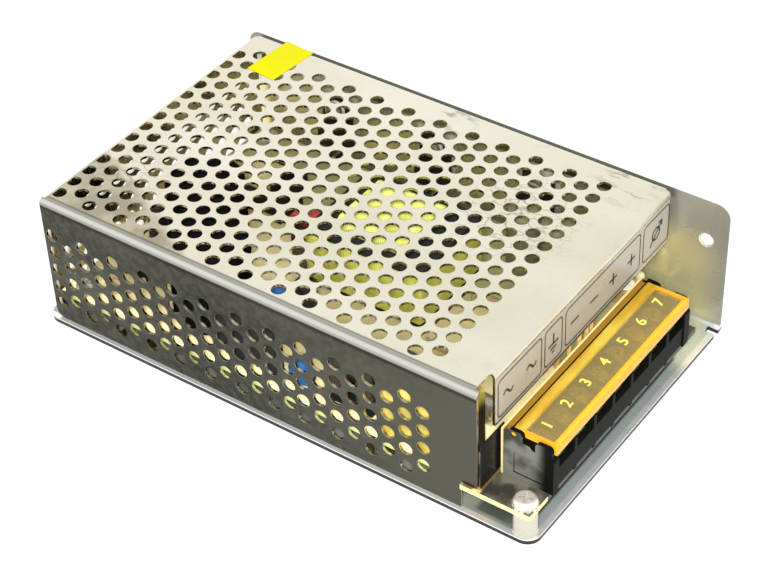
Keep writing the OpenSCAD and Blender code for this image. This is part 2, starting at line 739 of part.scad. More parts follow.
flip_rim = 0.4;
flip_band = 2;
module terminal_cover() {
    r = hinge_bar_d / 2;
    skirt_x0 = flip_x1 - skirt_t;
    panel_z = flip_z - flip_rim;
    color("orange", 0.6) union() {
        // hinge bar with a pin at each end
        translate([hinge_x, flip_y0, hinge_z]) rotate([-90, 0, 0]) cylinder(r = r, h = flip_y1 - flip_y0);
        translate([hinge_x, block_y0 + 0.2, hinge_z]) rotate([-90, 0, 0])
            cylinder(d = hinge_pin_d, h = block_len - 0.4);
        // clear panel, and the raised band along the hinge
        block([hinge_x, flip_y0, panel_z - flip_t], [skirt_x0 + eps, flip_y1, panel_z]);
        block([hinge_x, flip_y0, panel_z - eps], [hinge_x + flip_band, flip_y1, flip_z]);
        // rims at both ends
        for (y = [flip_y0, flip_y1 - 0.8])
            block([hinge_x, y, panel_z - flip_t - 0.4], [skirt_x0 + eps, y + 0.8, flip_z]);
        // front skirt with a rounded top edge
        translate([0, flip_y1, 0]) rotate([90, 0, 0]) linear_extrude(flip_y1 - flip_y0) {
            translate([skirt_x0, flip_z - skirt_h]) square([skirt_t, skirt_h - 0.6]);
            translate([flip_x1 - 0.6, flip_z - 0.6]) circle(r = 0.6);
            translate([skirt_x0, flip_z - 1]) square([skirt_t - 0.6, 1]);
        }
        // short ribs over the barriers
        for (i = [1:ways - 1])
            block([flip_x1 - 3, way_y(i) - way_w / 2 - barrier_t / 2 - 0.4, panel_z - flip_t - 0.4],
                [skirt_x0 + eps, way_y(i) - way_w / 2 - barrier_t / 2 + 0.4, panel_z - flip_t + eps]);
    }
}

// ---------- transformers ----------

// rectangle centred on the origin with rounded corners
module round_rect(w, h, r) {
    square([w - 2 * r, h], center = true);
    square([w, h - 2 * r], center = true);
    for (x = [-1, 1], y = [-1, 1])
        translate([x * (w / 2 - r), y * (h / 2 - r)]) circle(r = r, $fn = 24);
}

// width of the middle leg that leaves room for bobbin and winding
function middle_leg(w, leg, coil, tube) = w - 2 * leg - 2 * (coil + tube) - 4 * fit;

// two-window ferrite core lying flat, middle leg along X, foot at z = 0
module flat_core(len, w, h, leg, yoke, coil, tube) {
    mid = middle_leg(w, leg, coil, tube);
    window = (w - 2 * leg - mid) / 2;
    linear_extrude(h) difference() {
        round_rect(len, w, 0.8);
        for (y = [-w / 2 + leg, w / 2 - leg - window])
            translate([-len / 2 + yoke, y]) square([len - 2 * yoke, window]);
    }
}

// winding round the middle leg
module flat_winding(len, w, h, leg, yoke, coil, tube) {
    mid = middle_leg(w, leg, coil, tube);
    gap = tube + fit;
    span = len - 2 * yoke - 2 * tube - 4 * fit;
    translate([-span / 2, 0, h / 2]) rotate([90, 0, 90]) linear_extrude(span) difference() {
        round_rect(mid + 2 * (gap + coil), h + 2 * (gap + coil), 2.5);
        square([mid + 2 * gap, h + 2 * gap], center = true);
    }
}

// bobbin: tube, two flanges and two rows of feet down to the board
module flat_bobbin(len, w, h, leg, yoke, coil, tube, foot) {
    mid = middle_leg(w, leg, coil, tube);
    span = len - 2 * yoke - 2 * fit;
    rim = coil + tube + fit;
    difference() {
        union() {
            translate([-span / 2, -mid / 2 - tube, -tube]) cube([span, mid + 2 * tube, h + 2 * tube]);
            for (x = [-span / 2, span / 2 - tube])
                translate([x, -mid / 2 - rim, -rim]) cube([tube, mid + 2 * rim, h + 2 * rim]);
            for (x = [-len / 2 + 0.5, span / 2 - tube])
                translate([x, -mid / 2 - rim, -foot])
                    cube([len / 2 - 0.5 - span / 2 + tube, mid + 2 * rim, foot - fit]);
        }
        translate([-span / 2 - cut, -mid / 2 - eps, -eps])
            cube([span + 2 * cut, mid + 2 * eps, h + 2 * eps]);
    }
}

module transformer_core() {
    color("dimgray") translate([core_at[0], core_at[1], core_z])
        flat_core(core_len, core_w, core_h, core_leg, core_yoke, winding_t, bobbin_t);
}

module transformer_winding() {
    color("greenyellow") translate([core_at[0], core_at[1], core_z])
        flat_winding(core_len, core_w, core_h, core_leg, core_yoke, winding_t, bobbin_t);
}

module transformer_bobbin() {
    color("black") translate([core_at[0], core_at[1], core_z])
        flat_bobbin(core_len, core_w, core_h, core_leg, core_yoke, winding_t, bobbin_t, core_z - board_top);
}

// tape wrapped round the outside of the core
tape_t = 0.3;
module transformer_tape() {
    color("khaki") translate([core_at[0], core_at[1], core_z + 1.5]) linear_extrude(core_h - 3)
        difference() {
            round_rect(core_len + 2 * tape_t, core_w + 2 * tape_t, 1.1);
            round_rect(core_len, core_w, 0.8);
        }
}

drive_len = 18;
drive_w = 16;
drive_h = 5;
drive_leg = 2.6;
drive_yoke = 2.6;
drive_coil = 2.6;
drive_tube = 0.6;
drive_z = board_top + 5;
module drive_core() {
    color("dimgray") translate([drive_at[0], drive_at[1], drive_z])
        flat_core(drive_len, drive_w, drive_h, drive_leg, drive_yoke, drive_coil, drive_tube);
}

module drive_winding() {
    color("gold") translate([drive_at[0], drive_at[1], drive_z])
        flat_winding(drive_len, drive_w, drive_h, drive_leg, drive_yoke, drive_coil, drive_tube);
}

module drive_bobbin() {
    color("black") translate([drive_at[0], drive_at[1], drive_z])
        flat_bobbin(drive_len, drive_w, drive_h, drive_leg, drive_yoke, drive_coil, drive_tube,
            drive_z - board_top);
}

// ---------- chokes ----------

// ring core lying flat on its winding
toroid_z = board_top + choke_wire_d + 0.2;
module toroid_core() {
    color("olive") translate([toroid_at[0], toroid_at[1], toroid_z]) difference() {
        cylinder(d = toroid_od, h = toroid_h);
        translate([0, 0, -cut]) cylinder(d = toroid_id, h = toroid_h + 2 * cut);
    }
}

// round wire wound through the ring, turns touching on the inside
module toroid_winding() {
    d = choke_wire_d;
    r_in = toroid_id / 2 - d / 2;
    r_out = toroid_od / 2 + d / 2;
    turns = ceil(2 * PI * r_in / d) + 2;
    color("peru") translate([toroid_at[0], toroid_at[1], toroid_z - d]) {
        linear_extrude(toroid_h + 2 * d) for (i = [0:turns - 1], r = [r_in, r_out])
            rotate(i * 360 / turns) translate([r, 0]) circle(d = d, $fn = 16);
        for (z = [0, toroid_h + d]) translate([0, 0, z]) linear_extrude(d)
            for (i = [0:turns - 1])
                rotate(i * 360 / turns) translate([r_in, -0.45 * d]) square([r_out - r_in, 0.9 * d]);
    }
}

line_len = 13;
line_depth = 6.4;
line_leg = 3.4;
line_h = 20;
line_z = board_top;
module line_choke_core() {
    color("dimgray") translate([line_choke_at[0], line_choke_at[1] + line_depth / 2, line_z])
        rotate([90, 0, 0]) linear_extrude(line_depth) difference() {
            translate([-line_len / 2, 0]) square([line_len, line_h]);
            translate([-line_len / 2 + line_leg, line_leg])
                square([line_len - 2 * line_leg, line_h - 2 * line_leg]);
        }
}

module line_choke_windings() {
    t = 1.1;
    color("peru") for (s = [-1, 1])
        translate([line_choke_at[0] + s * (line_len - line_leg) / 2, line_choke_at[1],
            line_z + line_leg + 0.6])
            linear_extrude(line_h - 2 * line_leg - 1.2) difference() {
                round_rect(line_leg + 2 * t, line_depth + 2 * t, 1);
                square([line_leg + eps, line_depth + eps], center = true);
            }
}

// ---------- capacitors ----------

module main_capacitors() {
    color("black") for (p = main_cap_at) can(p, main_cap_d, main_cap_h);
}

module output_capacitors() {
    color("darkslategray") for (p = output_cap_at) can(p, output_cap_d, output_cap_h);
}

module small_capacitors() {
    color("darkslategray") for (p = small_cap_at) can(p, 6.3, 11.5);
}

module film_capacitor() {
    w = [26, 9.9];
    color("gold")
        box_part([film_cap_at[0] - w[0] / 2, film_cap_at[1] - w[1] / 2, board_top],
            [film_cap_at[0] + w[0] / 2, film_cap_at[1] + w[1] / 2, board_top + film_cap_h], 0.6);
}

module red_capacitor() {
    color("firebrick") {
        box_part([red_at[0] - red_len / 2, red_at[1] - 2.5, board_top + 2],
            [red_at[0] + red_len / 2, red_at[1] + 2.5, board_top + 20], 1);
        for (s = [-1, 1]) translate([red_at[0] + s * 3, red_at[1], board_z - 1])
            cylinder(d = 0.8, h = board_top - board_z + 4, $fn = 16);
    }
}

// dipped disc on two legs, disc facing along Y
module disc_part(at, d, t, z) {
    translate([at[0], at[1] + t / 2, z]) rotate([90, 0, 0]) rotate_extrude()
        polygon([[0, 0], [d / 2 - 1, 0], [d / 2, t * 0.3], [d / 2, t * 0.7], [d / 2 - 1, t], [0, t]]);
    for (s = [-1, 1]) translate([at[0] + s * d * 0.25, at[1], board_z - 1])
        cylinder(d = 0.8, h = z - board_z, $fn = 16);
}

module disc_capacitors() {
    color("royalblue") {
        disc_part(disc_at[0], disc_d[0], 4, board_top + 17.8);
        disc_part(disc_at[1], disc_d[1], 3, board_top + 7);
    }
}

module thermistor() {
    color("darkolivegreen") disc_part(thermistor_at, thermistor_d, 4, board_top + 8);
}

// ---------- fuse ----------

fuse_len = 20;
fuse_d = 5.2;
fuse_cap_len = 5;
fuse_wall = 0.4;
fuse_z = board_top + 5;
clip_w = 4;
clip_t = 0.4;

module fuse_tube() {
    d = fuse_d - 2 * fuse_wall;
    color("azure", 0.5) translate([fuse_at[0] - fuse_len / 2 + fuse_wall, fuse_at[1], fuse_z])
        rotate([0, 90, 0]) difference() {
            cylinder(d = d, h = fuse_len - 2 * fuse_wall);
            translate([0, 0, -cut]) cylinder(d = d - 1.4, h = fuse_len + 2 * cut);
        }
}

module fuse_caps() {
    color("silver") for (s = [0, 1]) translate([fuse_at[0], fuse_at[1], fuse_z])
        mirror([s, 0, 0]) translate([fuse_len / 2 - fuse_cap_len, 0, 0]) rotate([0, 90, 0])
            difference() {
                cylinder(d = fuse_d, h = fuse_cap_len);
                translate([0, 0, -cut])
                    cylinder(d = fuse_d - 2 * fuse_wall, h = fuse_cap_len - fuse_wall + cut);
            }
}

// spring clips: a ring open at the top on a foot
module fuse_clips() {
    color("silver") for (s = [-1, 1])
        translate([fuse_at[0] + s * (fuse_len - fuse_cap_len) / 2 - clip_w / 2, fuse_at[1], 0]) {
            translate([0, 0, fuse_z]) rotate([90, 0, 90]) linear_extrude(clip_w) difference() {
                circle(d = fuse_d + 2 * clip_t);
                circle(d = fuse_d);
                translate([-1.8, 0]) square([3.6, fuse_d]);
            }
            translate([0, -1.5, board_top]) cube([clip_w, 3, fuse_z - board_top - fuse_d / 2 - 0.05]);
        }
}

// ---------- semiconductors ----------

module bridge_rectifier() {
    w = 20;
    t = 3.6;
    color("black") {
        box_part([bridge_at[0] - w / 2, bridge_at[1] - t / 2, board_top + 2],
            [bridge_at[0] + w / 2, bridge_at[1] + t / 2, board_top + 16], 0.5);
        for (p = bridge_leads) translate([p[0], p[1], board_z - 1])
            cylinder(d = 1, h = board_top - board_z + 4, $fn = 16);
    }
}

// tab package standing against the wall: body, drilled tab and three cranked leads
module tab_device(x) {
    body_h = 9.2;
    translate([x, 0, 0]) difference() {
        union() {
            block([-device_w / 2, pad_y - tab_t, device_z], [device_w / 2, pad_y, device_z + 15.6]);
            box_part([-device_w / 2, pad_y - device_t, device_z],
                [device_w / 2, pad_y - 0.3, device_z + body_h], 0.4);
            for (i = [-1, 0, 1]) translate([i * lead_pitch - 0.4, pad_y, 0]) {
                block([0, -2.9, device_z - 2], [0.8, -2.4, device_z + 1]);
                block([0, -5.9, device_z - 2], [0.8, -2.4, device_z - 1.5]);
                block([0, -5.9, board_z - 1], [0.8, -5.4, device_z - 1.5]);
            }
        }
        translate([0, pad_y + cut, tab_hole_z]) rotate([90, 0, 0])
            cylinder(d = tab_hole_d, h = tab_t + 2 * cut);
    }
}

module power_transistors() {
    color("dimgray") for (i = [0, 1]) tab_device(device_x[i]);
}

module rectifier_diode() {
    color("dimgray") tab_device(device_x[2]);
}

// insulating pads between the devices and the wall
module device_pads() {
    color("lightpink") for (x = device_x) difference() {
        block([x - device_w / 2 - 1.5, pad_y, device_z - 1],
            [x + device_w / 2 + 1.5, wall_in, device_z + 17.5]);
        translate([x, wall_in + cut, tab_hole_z]) rotate([90, 0, 0])
            cylinder(d = tab_hole_d, h = pad_t + 2 * cut);
    }
}

// shoulder bushes that keep the screws off the tabs
bush_t = 0.8;
bush_y = pad_y - tab_t - bush_t;
module device_bushes() {
    color("ivory") for (x = device_x) translate([x, bush_y, tab_hole_z]) rotate([-90, 0, 0])
        difference() {
            union() {
                cylinder(d = 6, h = bush_t);
                cylinder(d = tab_hole_d - 2 * 0.05, h = bush_t + tab_t - fit);
            }
            translate([0, 0, -cut]) cylinder(d = m3 + 0.1, h = bush_t + tab_t + 2 * cut);
        }
}

module device_screws() {
    color("silver") for (x = device_x) translate([x, bush_y, tab_hole_z]) rotate([90, 0, 0])
        difference() {
            union() {
                rotate_extrude() polygon(concat([[0, 0], [2.75, 0]],
                    [for (a = [0:15:75]) [1.75 + cos(a), 0.8 + sin(a)]], [[0, 1.85]]));
                translate([0, 0, bush_y - y_far + fit]) cylinder(d = m3, h = y_far - bush_y);
            }
            translate([0, 0, 0.8]) cross_recess(2, 3);
        }
}

module control_ic() {
    color("black") {
        box_part([control_at[0] - 4.8, control_at[1] - 3.2, board_top + 0.6],
            [control_at[0] + 4.8, control_at[1] + 3.2, board_top + 3.9], 0.5);
        for (p = control_leads)
            translate([p[0] - 0.3, p[1] - 0.3, board_z - 1])
                cube([0.6, 0.6, board_top - board_z + 3]);
    }
}

// ---------- small parts ----------

// axial resistor along X standing just off the board
module axial(at, len, d) {
    z = board_top + d / 2 + 0.2;
    translate([at[0] - len / 2, at[1], z]) rotate([0, 90, 0]) rotate_extrude()
        polygon([[0, 0], [d / 2 - 0.3, 0], [d / 2, 0.4], [d / 2, 1.4], [d / 2 - 0.2, 1.7],
            [d / 2 - 0.2, len - 1.7], [d / 2, len - 1.4], [d / 2, len - 0.4], [d / 2 - 0.3, len], [0, len]]);
    translate([at[0] - len / 2 - 2, at[1], z]) rotate([0, 90, 0]) cylinder(d = 0.7, h = len + 4, $fn = 16);
    for (s = [-1, 1]) translate([at[0] + s * (len / 2 + 2), at[1], board_z - 1])
        cylinder(d = 0.9, h = z - board_z + 1.5, $fn = 16);
}

module resistors() {
    color("burlywood") for (r = resistor_at) axial(r[0], r[1], r[2]);
}

trimmer_h = 4.4;
rotor_d = 4.2;
rotor_h = 2.4;
rotor_seat = 1.6;
module trimmer_body() {
    color("royalblue") difference() {
        block([adjust_at[0] - trimmer_w / 2, adjust_at[1] - trimmer_w / 2, board_top],
            [adjust_at[0] + trimmer_w / 2, adjust_at[1] + trimmer_w / 2, board_top + trimmer_h]);
        translate([adjust_at[0], adjust_at[1], board_top + trimmer_h - rotor_seat])
            cylinder(d = rotor_d + 2 * hinge_fit, h = rotor_seat + cut);
    }
}

module trimmer_rotor() {
    color("white") translate([adjust_at[0], adjust_at[1], board_top + trimmer_h - rotor_seat])
        difference() {
            cylinder(d = rotor_d, h = rotor_h);
            translate([0, 0, rotor_h - 0.7]) cross_recess(cut, 3);
        }
}

module indicator_led() {
    color("limegreen") translate([led_at[0], led_at[1], board_top]) {
        rotate_extrude() polygon(concat([[0, 0], [1.9, 0], [1.9, 1], [1.5, 1]],
            [for (a = [0:15:75]) [1.5 * cos(a), 3.2 + 1.5 * sin(a)]], [[0, 4.7]]));
    }
}

chassis();
cover();
terminal_label();
seal_sticker();
cover_screws();
circuit_board();
board_standoffs();
board_screws();
board_washers();
terminal_block();
terminal_cover();
terminal_guard();
terminal_screws();
terminal_clamps();
terminal_contacts();
insulation_sheet();
transformer_core();
transformer_winding();
transformer_bobbin();
transformer_tape();
drive_core();
drive_winding();
drive_bobbin();
main_capacitors();
output_capacitors();
small_capacitors();
toroid_core();
toroid_winding();
line_choke_core();
line_choke_windings();
film_capacitor();
disc_capacitors();
red_capacitor();
thermistor();
fuse_tube();
fuse_caps();
fuse_clips();
bridge_rectifier();
power_transistors();
rectifier_diode();
device_pads();
device_bushes();
device_screws();
control_ic();
resistors();
trimmer_body();
trimmer_rotor();
indicator_led();
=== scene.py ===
"""Mesh case switching power supply: materials, markings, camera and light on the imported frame."""
import math

import bpy
from mathutils import Matrix, Vector


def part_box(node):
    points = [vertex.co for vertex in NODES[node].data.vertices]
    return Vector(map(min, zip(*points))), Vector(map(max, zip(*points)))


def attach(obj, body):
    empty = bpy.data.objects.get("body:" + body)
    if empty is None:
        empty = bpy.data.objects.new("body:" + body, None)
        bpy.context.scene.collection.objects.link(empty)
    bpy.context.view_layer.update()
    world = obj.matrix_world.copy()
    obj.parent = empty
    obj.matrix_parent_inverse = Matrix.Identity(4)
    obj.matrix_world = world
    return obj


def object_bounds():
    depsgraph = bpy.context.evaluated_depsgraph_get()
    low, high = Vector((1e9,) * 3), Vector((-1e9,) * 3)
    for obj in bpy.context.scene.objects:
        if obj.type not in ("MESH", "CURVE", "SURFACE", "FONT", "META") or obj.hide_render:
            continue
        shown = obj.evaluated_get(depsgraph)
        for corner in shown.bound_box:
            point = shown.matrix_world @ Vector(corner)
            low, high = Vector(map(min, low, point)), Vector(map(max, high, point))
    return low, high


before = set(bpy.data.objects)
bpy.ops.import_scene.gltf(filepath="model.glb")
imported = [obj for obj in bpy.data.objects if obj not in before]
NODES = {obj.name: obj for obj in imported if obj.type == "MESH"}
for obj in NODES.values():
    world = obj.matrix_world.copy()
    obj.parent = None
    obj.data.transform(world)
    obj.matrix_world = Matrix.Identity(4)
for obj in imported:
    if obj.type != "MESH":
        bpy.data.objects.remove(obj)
CAD_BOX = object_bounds()
MM = 0.001


def in_mm(corners):
    """The two corners of a box in millimetres."""
    return [[value / MM for value in corner] for corner in corners]


# ---------------------------------------------------------------- camera

CAMERA_AT = (263.25, -353.17, 383.87)   # mm
CAMERA_AIM = (21.5, -26.9, 42.0)        # mm
CAMERA_ROLL = -2.3                      # degrees
CAMERA_LENS = 98.95                     # mm, on the sensor below
CAMERA_SENSOR = 36.0                    # mm
CAMERA_CLIP = (0.01, 20.0)              # m


def make_camera():
    data = bpy.data.cameras.new("camera")
    data.sensor_width = CAMERA_SENSOR
    data.lens = CAMERA_LENS
    data.clip_start, data.clip_end = CAMERA_CLIP
    cam = bpy.data.objects.new("camera", data)
    bpy.context.scene.collection.objects.link(cam)
    at, aim = Vector(CAMERA_AT) * MM, Vector(CAMERA_AIM) * MM
    turn = (aim - at).to_track_quat("-Z", "Y").to_matrix().to_4x4()
    roll = Matrix.Rotation(math.radians(CAMERA_ROLL), 4, "Z")
    cam.matrix_world = Matrix.Translation(at) @ turn @ roll
    bpy.context.scene.camera = cam


# ---------------------------------------------------------------- shader kit


class Shader:
    """A node material with a Principled shader and short ways to feed it."""

    def __init__(self, name, color=(0.8, 0.8, 0.8), roughness=0.5, metallic=0.0, **values):
        self.mat = bpy.data.materials.new(name)
        self.mat.use_nodes = True
        self.tree = self.mat.node_tree
        self.main = self.tree.nodes["Principled BSDF"]
        self.set("Base Color", color)
        self.set("Roughness", roughness)
        self.set("Metallic", metallic)
        for key, value in values.items():
            self.set(key.replace("_", " "), value)
        self.coords = self.add("ShaderNodeTexCoord").outputs["Object"]

    def add(self, kind, **settings):
        node = self.tree.nodes.new(kind)
        for key, value in settings.items():
            setattr(node, key, value)
        return node

    def plug(self, socket, value):
        """Links value if it is a socket, or sets it as the socket's constant."""
        if isinstance(value, bpy.types.NodeSocket):
            self.tree.links.new(value, socket)
        elif isinstance(value, tuple) and len(value) == 3 and socket.type == "RGBA":
            socket.default_value = (*value, 1.0)
        else:
            socket.default_value = value

    def set(self, name, value):
        self.plug(self.main.inputs[name], value)

    # places and directions

    def axes(self, vector):
        node = self.add("ShaderNodeSeparateXYZ")
        self.plug(node.inputs[0], vector)
        return node.outputs[0], node.outputs[1], node.outputs[2]

    def place(self):
        """x, y and z on the piece in millimetres."""
        node = self.add("ShaderNodeVectorMath", operation="SCALE")
        self.plug(node.inputs[0], self.coords)
        node.inputs["Scale"].default_value = 1 / MM
        return self.axes(node.outputs[0])

    def facing(self):
        """x, y and z of the surface's direction."""
        return self.axes(self.add("ShaderNodeNewGeometry").outputs["True Normal"])

    def near(self, x, y, reach):
        """1 at the point x, y, fading to 0 at reach, in millimetres."""
        px, py, _ = self.place()
        dx = self.math("SUBTRACT", px, x)
        dy = self.math("SUBTRACT", py, y)
        square = self.math("ADD", self.both(dx, dx), self.both(dy, dy))
        return self.span(self.math("SQRT", square), 0.0, reach, 1.0, 0.0)

    def spots(self, places):
        """1 at each of the places, given as x, y and reach."""
        return self.joined(*[self.near(*place) for place in places])

    # patterns

    def noise(self, scale, detail=3.0, stretch=None, rough=0.55):
        """Noise from 0 to 1; scale counts features per metre, and stretch scales each axis."""
        node = self.add("ShaderNodeTexNoise")
        node.inputs["Scale"].default_value = scale
        node.inputs["Detail"].default_value = detail
        node.inputs["Roughness"].default_value = rough
        self.plug(node.inputs["Vector"], self.stretched(stretch) if stretch else self.coords)
        return node.outputs["Fac"]

    def stretched(self, stretch):
        mapping = self.add("ShaderNodeMapping")
        mapping.inputs["Scale"].default_value = stretch
        self.plug(mapping.inputs["Vector"], self.coords)
        return mapping.outputs["Vector"]

    def patches(self, low, high, scale, detail=3.0, stretch=None):
        """Noise pulled apart into patches of 0 and 1, with soft edges from low to high."""
        return self.span(self.noise(scale, detail, stretch), low, high)

    # sums and colours

    def math(self, operation, a, b=0.0, clamp=False):
        node = self.add("ShaderNodeMath", operation=operation, use_clamp=clamp)
        self.plug(node.inputs[0], a)
        self.plug(node.inputs[1], b)
        return node.outputs[0]

    def chain(self, operation, first, *others, clamp=False):
        """One operation carried through several values."""
        for other in others:
            first = self.math(operation, first, other, clamp)
        return first

    def both(self, *factors):
        """Product of factors: 1 only where all of them are."""
        return self.chain("MULTIPLY", *factors)

    def either(self, *factors):
        """The largest of factors."""
        return self.chain("MAXIMUM", *factors)

    def joined(self, *factors):
        """Sum of factors, at most 1."""
        return self.chain("ADD", *factors, clamp=True)

    def span(self, value, low, high, to_low=0.0, to_high=1.0):
        """value remapped smoothly from low..high to to_low..to_high; low may be above high."""
        node = self.add("ShaderNodeMapRange", interpolation_type="SMOOTHSTEP")
        for socket, number in zip(node.inputs[:5], (value, low, high, to_low, to_high)):
            self.plug(socket, number)
        return node.outputs[0]

    def mix(self, factor, a, b):
        node = self.add("ShaderNodeMix", data_type="RGBA")
        self.plug(node.inputs["Factor"], factor)
        self.plug(node.inputs["A"], a)
        self.plug(node.inputs["B"], b)
        return node.outputs["Result"]

    def over(self, under, color, *factors):
        """color laid over under where all the factors are 1."""
        return self.mix(self.both(*factors), under, color)

    # relief

    def bump(self, height, depth, edge=0.0):
        """Bump of depth millimetres; edge rounds the look of sharp edges by that radius."""
        node = self.add("ShaderNodeBump")
        node.inputs["Strength"].default_value = 1.0
        node.inputs["Distance"].default_value = depth * MM
        self.plug(node.inputs["Height"], height)
        if edge:
            self.plug(node.inputs["Normal"], self.edge(edge))
        self.plug(self.main.inputs["Normal"], node.outputs["Normal"])

    def edge(self, radius):
        node = self.add("ShaderNodeBevel", samples=4)
        node.inputs["Radius"].default_value = radius * MM
        return node.outputs["Normal"]


# ---------------------------------------------------------------- general materials


def plain(name, color, roughness=0.4, metallic=0.0, grain=900.0, depth=0.01, vary=0.12, edge=0.15,
          **values):
    """Moulded, coated or plated surface: fine grain and a slight change of colour.

    grain counts grains per metre, depth is their relief in mm, and vary is the share by which
    the colour changes.
    """
    s = Shader(name, roughness=roughness, metallic=metallic, **values)
    dark = tuple(c * (1 - vary) for c in color)
    light = tuple(min(1.0, c * (1 + vary)) for c in color)
    s.set("Base Color", s.mix(s.noise(grain * 0.12), dark, light))
    rough_high = min(1, roughness * 1.25)
    s.set("Roughness", s.span(s.noise(grain * 0.3), 0.3, 0.7, roughness * 0.8, rough_high))
    s.bump(s.noise(grain, 2.0), depth, edge)
    return s.mat


def taped(name, dark, light, bands=520.0):
    """Thin tape or wire wound over and over: fine parallel ridges, bands of them per metre."""
    s = Shader(name, roughness=0.25, Coat_Weight=0.4, Coat_Roughness=0.15)
    wave = s.add("ShaderNodeTexWave", bands_direction="X")
    wave.inputs["Scale"].default_value = bands
    wave.inputs["Distortion"].default_value = 1.5
    s.plug(wave.inputs["Vector"], s.coords)
    s.set("Base Color", s.mix(s.patches(0.3, 0.7, 120.0), dark, light))
    s.bump(wave.outputs["Fac"], 0.08, 0.2)
    return s.mat


# ---------------------------------------------------------------- sheet metal

# tones of the cover's top, at its back end and at its front end, each bright and dull: painted reflection,
# mixed in clouds
TOP_REFLECTION_BRIGHT = ((0.93, 0.89, 0.77), (0.85, 0.82, 0.67))
TOP_REFLECTION_DULL = ((0.84, 0.79, 0.64), (0.76, 0.73, 0.57))
TOP_SPECK = (0.60, 0.57, 0.44)
# the darker corner at the back end, smudges and scratches of the top
CORNER_TONES = ((0.28, 0.24, 0.14), (0.50, 0.45, 0.31))
SMUDGE = (0.28, 0.27, 0.21)
SCRATCH = (0.33, 0.31, 0.24)
# the near wall in painted shade, its mottling, its lighter front end and the painted shade line under the
# fold
WALL_SHADE_TONES = ((0.034, 0.033, 0.025), (0.088, 0.086, 0.064))
WALL_MOTTLE = (0.13, 0.13, 0.11)
WALL_FRONT = (0.100, 0.096, 0.074)
WALL_SHADE = (0.012, 0.012, 0.010)
# painted highlight on the fold between them: its flanks and its crown, and a painted shade line above it
FOLD_FLANK_HIGHLIGHT = (0.40, 0.39, 0.35)
FOLD_CROWN_HIGHLIGHT = (0.74, 0.73, 0.68)
FOLD_SHADE_LINE = (0.16, 0.15, 0.12)
# places on the top in mm: x, y and reach
SMUDGES = ((-3, 42, 9), (52, 43, 14))
SCRATCHES = ((34, 14, 24),)
FAINT_SCRATCHES = ((-66, -28, 18),)
CREASES = ((-70, -40, 24), (30, 20, 30), (50, 38, 20))
# stretches along the case in mm, over which the tone changes
TOP_CHANGE = (-60.0, 50.0)
WALL_CHANGE = (15.0, 62.0)
CORNER_CHANGE = (-97.0, -105.0)     # of x + 1.8 y, with the wavy edge added


def cover_top(s, px, py):
    """Cream steel with cloudy painted reflection, a darker corner at the back end, smudges and scratches.
    """
    along = s.span(px, *TOP_CHANGE)
    # cloudy patches of painted reflection between the dull and the bright tones
    reflection_clouds = s.patches(0.36, 0.64, 16.0, 2.0, (0.6, 1.3, 1.0))
    top = s.mix(reflection_clouds, s.mix(along, *TOP_REFLECTION_DULL), s.mix(along, *TOP_REFLECTION_BRIGHT))
    top = s.over(top, TOP_SPECK, s.patches(0.5, 0.8, 140.0, 4.0), 0.25)
    slant = s.chain("ADD", px, s.both(py, 1.8), s.both(s.noise(60.0), 24.0))
    corner = s.mix(s.patches(0.4, 0.6, 90.0), *CORNER_TONES)
    top = s.over(top, corner, s.span(slant, *CORNER_CHANGE), 0.74)
    smudge = s.patches(0.50, 0.62, 150.0, 3.0, (1.0, 2.6, 1.0))
    top = s.over(top, SMUDGE, smudge, s.spots(SMUDGES), 0.8)
    from_mean = s.math("ABSOLUTE", s.math("SUBTRACT", s.noise(120.0, 2.0, (1.0, 1.6, 1.0)), 0.5))
    scratched = s.joined(s.spots(SCRATCHES), s.both(s.spots(FAINT_SCRATCHES), 0.8))
    return s.over(top, SCRATCH, s.span(from_mean, 0.030, 0.008), scratched, 0.7)


def cover_wall(s, px, below_top):
    """Near wall in painted shade: dark mottled steel, lighter at the front end, with a painted shade line
    under the fold.
    """
    wall = s.mix(s.patches(0.35, 0.7, 24.0, 3.0, (0.6, 1.0, 1.6)), *WALL_SHADE_TONES)
    wall = s.over(wall, WALL_MOTTLE, s.patches(0.35, 0.7, 420.0, 4.0), 0.45)
    wall = s.over(wall, WALL_FRONT, s.span(px, *WALL_CHANGE))
    return s.over(wall, WALL_SHADE, s.span(below_top, 3.4, 2.4), s.span(below_top, 1.6, 2.0), 0.7)


def steel_cover():
    """Bright rolled steel: cream top with painted reflection, near wall dark with painted shade, and a
    painted highlight on the fold between them.
    """
    s = Shader("cover_steel", metallic=1.0)
    low, high = in_mm(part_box("cover"))
    _, ny, nz = s.facing()
    px, py, pz = s.place()
    from_near = s.math("SUBTRACT", py, low[1])
    below_top = s.math("SUBTRACT", high[2], pz)
    color = s.over(cover_top(s, px, py), cover_wall(s, px, below_top),
                   s.span(ny, -0.88, -0.995), s.span(from_near, 1.0, 0.4))
    # painted highlight on the fold and a painted shade line above it
    color = s.over(color, FOLD_FLANK_HIGHLIGHT, s.span(from_near, 2.2, 1.6), s.span(below_top, 2.0, 1.4))
    color = s.over(color, FOLD_CROWN_HIGHLIGHT, s.span(from_near, 1.2, 0.6), s.span(below_top, 1.2, 0.6))
    color = s.over(color, FOLD_SHADE_LINE, s.span(from_near, 2.8, 2.4), s.span(from_near, 1.7, 2.1),
                   s.span(nz, 0.8, 0.95), 0.75)
    s.set("Base Color", color)
    s.set("Roughness", s.span(s.noise(60.0, 3.0, (1.0, 14.0, 1.0)), 0.3, 0.7, 0.16, 0.30))
    wrinkle = s.both(s.noise(210.0, 3.0, (1.0, 2.2, 1.0)), s.spots(CREASES), 0.9)
    s.bump(s.math("ADD", s.both(s.noise(30.0, 2.0), 0.5), wrinkle), 0.6, 0.25)
    return s.mat


